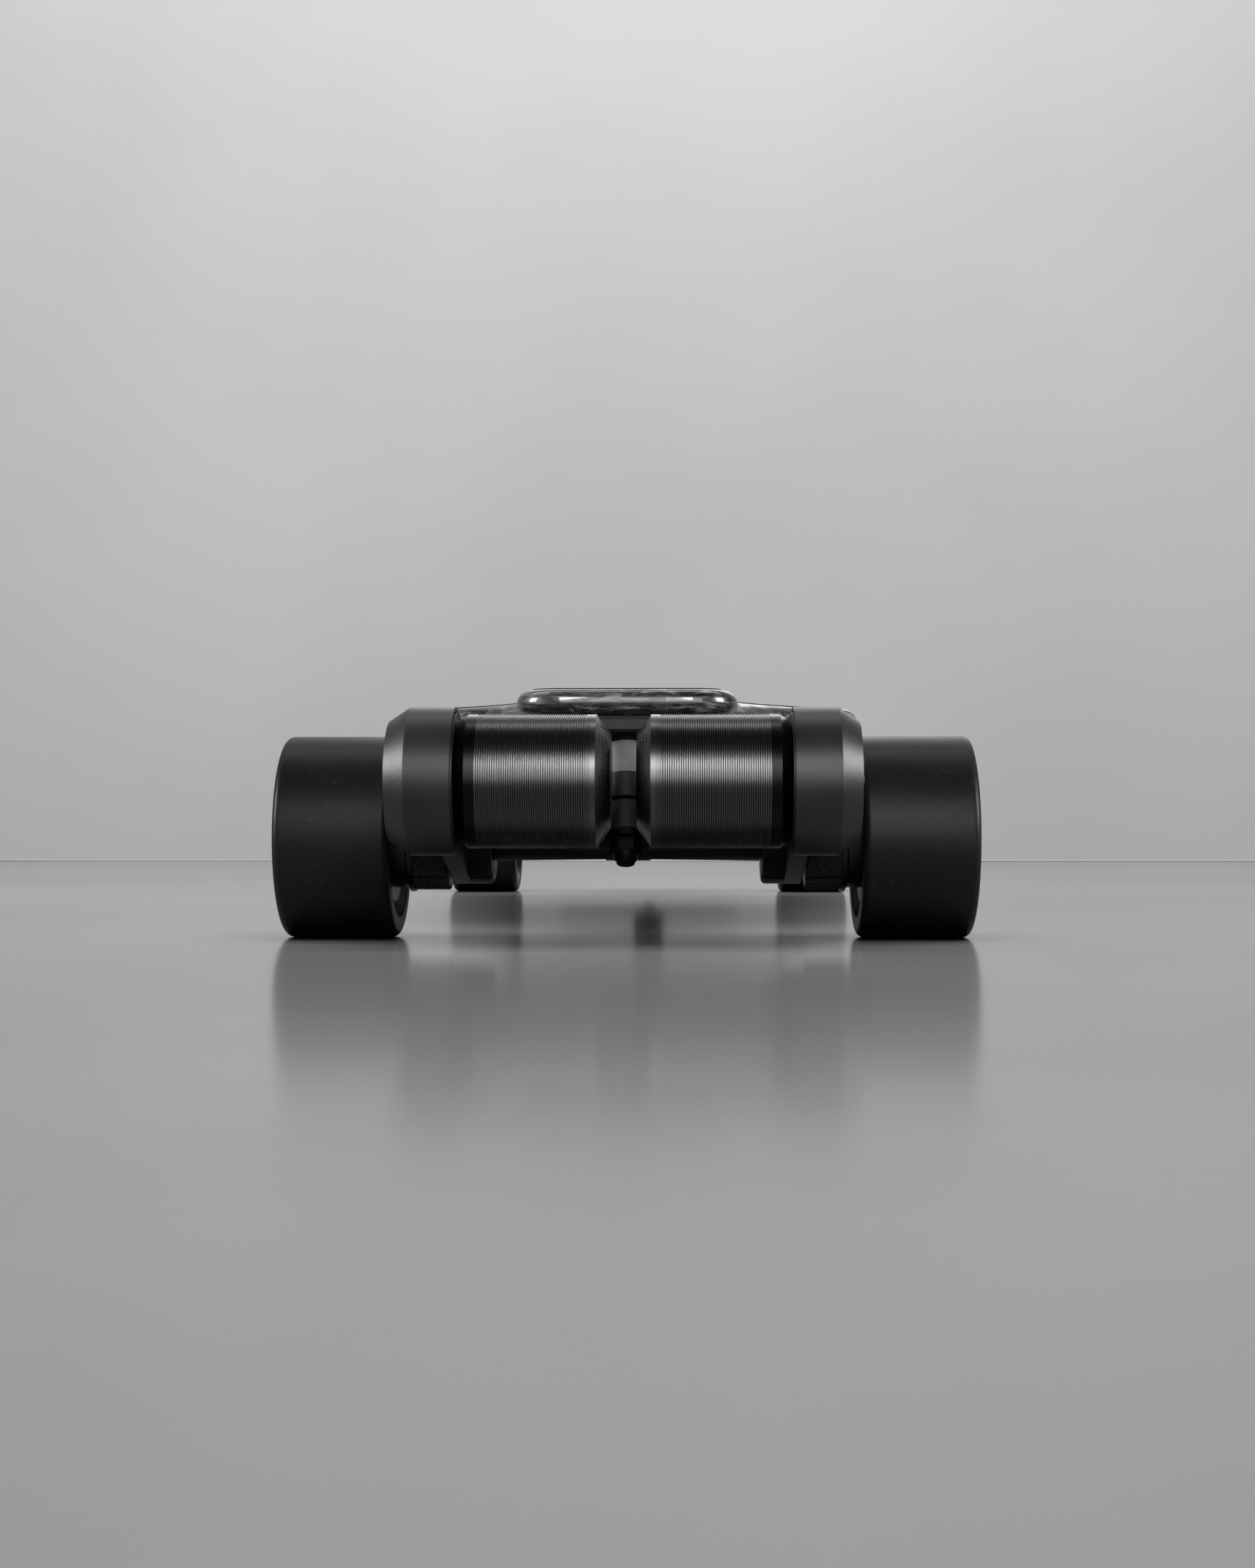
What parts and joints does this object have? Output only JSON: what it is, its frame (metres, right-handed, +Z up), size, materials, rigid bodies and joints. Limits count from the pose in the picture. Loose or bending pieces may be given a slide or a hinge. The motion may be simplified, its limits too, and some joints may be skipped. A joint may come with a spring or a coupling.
{
  "type": "electric longboard",
  "caption": "Electric longboard with a composite deck, leaning trucks, large urethane wheels and a twin belt drive behind the rear axle.",
  "frame": {"origin": "on the floor, under the middle of the whole board's length and width", "axes": "+X to the rider's right, +Y towards the nose, +Z up; the motors are at the -Y end"},
  "size_m": [0.363, 1.0404, 0.1314],
  "materials": {
    "forged_carbon": "clear-coated forged carbon",
    "grip": "fine grit",
    "cover_plastic": "satin moulded",
    "soft_rubber": "matte",
    "black_screws": "black oxide",
    "battery_wrap": "heat-shrink film",
    "controller_aluminium": "bead-blasted anodised",
    "trim_plastic": "satin",
    "pulley_aluminium": "hard anodised",
    "plated_steel": "dark zinc plated",
    "bearing_steel": "ground steel",
    "bushing_urethane": "matte cast urethane",
    "truck_paint": "satin black powder coat",
    "mount_paint": "satin black anodised",
    "motor_anodised": "black anodised, finely ribbed",
    "rotor_steel": "turned",
    "stator_steel": "lacquered laminations and windings",
    "belt_rubber": "grainy fabric-backed rubber",
    "urethane": "satin cast urethane",
    "wheel_core": "satin moulded nylon"
  },
  "bodies": {
    "deck": {"battery_pack": "battery_wrap", "button_bezel": "pulley_aluminium", "charge_socket": "trim_plastic", "cover_gasket": "soft_rubber", "cover_screws": "black_screws", "deck_bolts": "black_screws", "deck_nuts": "plated_steel", "deck_shell": "forged_carbon", "front_baseplate": "truck_paint", "front_bushings": "bushing_urethane", "grip_sheet": "grip", "kingpin_nuts": "plated_steel", "kingpin_washers": "plated_steel", "kingpins": "plated_steel", "motor_controller": "controller_aluminium", "pivot_cups": "soft_rubber", "rear_baseplate": "truck_paint", "rear_bushings": "bushing_urethane", "riser_pads": "soft_rubber", "underside_cover": "cover_plastic"},
    "charge_cap": {"charge_cap": "trim_plastic"},
    "power_button": {"power_button": "trim_plastic"},
    "rear_truck": {"left_belt_cover": "cover_plastic", "left_drive_belt": "belt_rubber", "left_motor_can": "motor_anodised", "left_motor_cap": "motor_anodised", "left_mount_plate": "mount_paint", "motor_bearings": "bearing_steel", "motor_clamps": "mount_paint", "mount_screws": "black_screws", "rear_axle": "plated_steel", "rear_axle_hardware": "plated_steel", "rear_hanger": "truck_paint", "right_belt_cover": "cover_plastic", "right_drive_belt": "belt_rubber", "right_motor_can": "motor_anodised", "right_motor_cap": "motor_anodised", "right_mount_plate": "mount_paint", "stators": "stator_steel"},
    "front_truck": {"front_axle": "plated_steel", "front_axle_hardware": "plated_steel", "front_hanger": "truck_paint"},
    "left_motor_shaft": {"left_rotor": "rotor_steel", "left_motor_pulley": "pulley_aluminium"},
    "rear_left_wheel": {"rear_left_tyre": "urethane", "rear_left_core": "wheel_core", "rear_left_bearings": "bearing_steel", "rear_left_wheel_pulley": "pulley_aluminium"},
    "front_left_wheel": {"front_left_tyre": "urethane", "front_left_core": "wheel_core", "front_left_bearings": "bearing_steel"},
    "right_motor_shaft": {"right_rotor": "rotor_steel", "right_motor_pulley": "pulley_aluminium"},
    "rear_right_wheel": {"rear_right_tyre": "urethane", "rear_right_core": "wheel_core", "rear_right_bearings": "bearing_steel", "rear_right_wheel_pulley": "pulley_aluminium"},
    "front_right_wheel": {"front_right_tyre": "urethane", "front_right_core": "wheel_core", "front_right_bearings": "bearing_steel"}
  },
  "joints": [
    {"name": "cap_hinge", "type": "hinge", "parent": "deck", "child": "charge_cap", "pos_m": [0.1156, 0.01, 0.091], "axis": [0, 1, 0], "range_deg": [0, 110]},
    {"name": "power_press", "type": "slide", "parent": "deck", "child": "power_button", "axis": [-1, 0, 0], "range_m": [0, 0.0012], "stiffness_N_per_m": 500},
    {"name": "rear_lean", "type": "hinge", "parent": "deck", "child": "rear_truck", "pos_m": [0, -0.38603, 0.05366], "axis": [0, -0.9063, 0.4226], "range_deg": [-14, 14], "stiffness_Nm_per_rad": 60, "deforming": ["rear_bushings"]},
    {"name": "front_lean", "type": "hinge", "parent": "deck", "child": "front_truck", "pos_m": [0, 0.44003, 0.05366], "axis": [0, 0.9063, 0.4226], "range_deg": [-14, 14], "stiffness_Nm_per_rad": 60, "deforming": ["front_bushings"]},
    {"name": "rear_left_spin", "type": "hinge", "parent": "rear_truck", "child": "rear_left_wheel", "pos_m": [-0.1515, -0.408, 0.0535], "axis": [1, 0, 0], "continuous": true},
    {"name": "rear_right_spin", "type": "hinge", "parent": "rear_truck", "child": "rear_right_wheel", "pos_m": [0.1515, -0.408, 0.0535], "axis": [1, 0, 0], "continuous": true},
    {"name": "front_left_spin", "type": "hinge", "parent": "front_truck", "child": "front_left_wheel", "pos_m": [-0.1515, 0.462, 0.0535], "axis": [1, 0, 0], "continuous": true},
    {"name": "front_right_spin", "type": "hinge", "parent": "front_truck", "child": "front_right_wheel", "pos_m": [0.1515, 0.462, 0.0535], "axis": [1, 0, 0], "continuous": true},
    {"name": "left_motor_spin", "type": "hinge", "parent": "rear_truck", "child": "left_motor_shaft", "pos_m": [-0.06, -0.483, 0.0814], "axis": [1, 0, 0], "continuous": true},
    {"name": "right_motor_spin", "type": "hinge", "parent": "rear_truck", "child": "right_motor_shaft", "pos_m": [0.06, -0.483, 0.0814], "axis": [1, 0, 0], "continuous": true}
  ],
  "couplings": [
    {"joint": "left_motor_spin", "follows": "rear_left_spin", "ratio": 2.2667},
    {"joint": "right_motor_spin", "follows": "rear_right_spin", "ratio": 2.2667}
  ]
}
